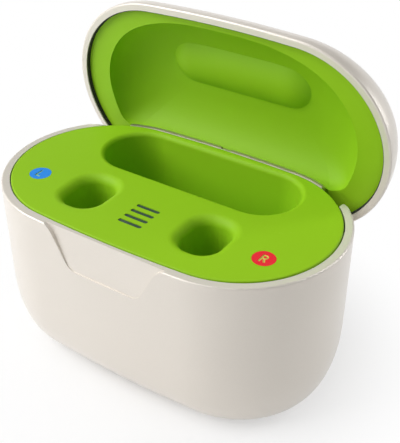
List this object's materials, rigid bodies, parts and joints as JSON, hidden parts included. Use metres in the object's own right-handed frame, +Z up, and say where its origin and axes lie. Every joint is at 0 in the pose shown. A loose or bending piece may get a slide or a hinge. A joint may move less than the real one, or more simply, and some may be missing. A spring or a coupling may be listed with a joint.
{
  "type": "hearing aid charging case",
  "caption": "Oval charging case with a hinged domed lid, two hearing aid wells with sprung contacts, a storage compartment and indicator bars.",
  "frame": {"origin": "centre of the underside of the base, on the surface it stands on", "axes": "+Z up, +X along the long side towards the right-ear well, +Y towards the hinge and the back"},
  "size_m": [0.085, 0.0596, 0.0768],
  "materials": {
    "shell_plastic": "satin cream moulding with a light pearl",
    "inner_plastic": "fine matte green moulding",
    "foot_rubber": "soft matte rubber",
    "seal_rubber": "black soft seal",
    "hinge_metal": "champagne lacquered metal",
    "indicator_lens": "dark smoked light bars",
    "left_mark_ink": "blue",
    "right_mark_ink": "red",
    "board_laminate": "solder mask",
    "black_plastic": "moulded black",
    "white_plastic": "moulded natural",
    "flex_film": "amber film",
    "lead_insulation": "wire insulation",
    "cell_foil": "pouch foil",
    "foam_tape": "foam tape",
    "tray_plastic": "moulded dark grey",
    "zinc_steel": "plated steel",
    "port_steel": "drawn steel",
    "button_plastic": "satin cream moulding",
    "magnet_nickel": "nickel plate",
    "contact_gold": "gold plate"
  },
  "bodies": {
    "base": {"base_shell": "shell_plastic", "rubber_foot": "foot_rubber", "deck_insert": "inner_plastic", "indicator_light_pipe": "indicator_lens", "indicator_board": "board_laminate", "indicator_leds": "white_plastic", "indicator_flex": "flex_film", "left_mark": "left_mark_ink", "right_mark": "right_mark_ink", "main_board": "board_laminate", "board_chips": "black_plastic", "flex_connector": "white_plastic", "cell_connector": "white_plastic", "cell_leads": "lead_insulation", "battery_cell": "cell_foil", "cell_pad": "foam_tape", "inner_tray": "tray_plastic", "tray_screws": "zinc_steel", "usb_c_receptacle": "port_steel", "button_switch": "black_plastic", "hinge_cover": "hinge_metal", "left_contact_carrier": "black_plastic", "right_contact_carrier": "black_plastic", "left_base_magnet": "magnet_nickel", "right_base_magnet": "magnet_nickel", "left_hinge_pin": "zinc_steel", "right_hinge_pin": "zinc_steel", "left_contact_spring_a": "zinc_steel", "left_contact_spring_b": "zinc_steel", "right_contact_spring_a": "zinc_steel", "right_contact_spring_b": "zinc_steel"},
    "lid": {"lid_shell": "shell_plastic", "lid_liner": "inner_plastic", "lid_seal": "seal_rubber", "left_lid_magnet": "magnet_nickel", "right_lid_magnet": "magnet_nickel"},
    "button": {"pairing_button": "button_plastic"},
    "left_contact_a": {"left_contact_pin_a": "contact_gold"},
    "left_contact_b": {"left_contact_pin_b": "contact_gold"},
    "right_contact_a": {"right_contact_pin_a": "contact_gold"},
    "right_contact_b": {"right_contact_pin_b": "contact_gold"}
  },
  "joints": [
    {"name": "lid_hinge", "type": "hinge", "parent": "base", "child": "lid", "pos_m": [0, 0.0159, 0.0351], "axis": [1, 0, 0], "range_deg": [0, 83.5]},
    {"name": "button_press", "type": "slide", "parent": "base", "child": "button", "axis": [0, -1, 0], "range_m": [0, 0.0005], "stiffness_N_per_m": 2000},
    {"name": "left_contact_a_press", "type": "slide", "parent": "base", "child": "left_contact_a", "axis": [0, 0, -1], "range_m": [0, 0.001], "stiffness_N_per_m": 400, "deforming": ["left_contact_spring_a"]},
    {"name": "left_contact_b_press", "type": "slide", "parent": "base", "child": "left_contact_b", "axis": [0, 0, -1], "range_m": [0, 0.001], "stiffness_N_per_m": 400, "deforming": ["left_contact_spring_b"]},
    {"name": "right_contact_a_press", "type": "slide", "parent": "base", "child": "right_contact_a", "axis": [0, 0, -1], "range_m": [0, 0.001], "stiffness_N_per_m": 400, "deforming": ["right_contact_spring_a"]},
    {"name": "right_contact_b_press", "type": "slide", "parent": "base", "child": "right_contact_b", "axis": [0, 0, -1], "range_m": [0, 0.001], "stiffness_N_per_m": 400, "deforming": ["right_contact_spring_b"]}
  ]
}
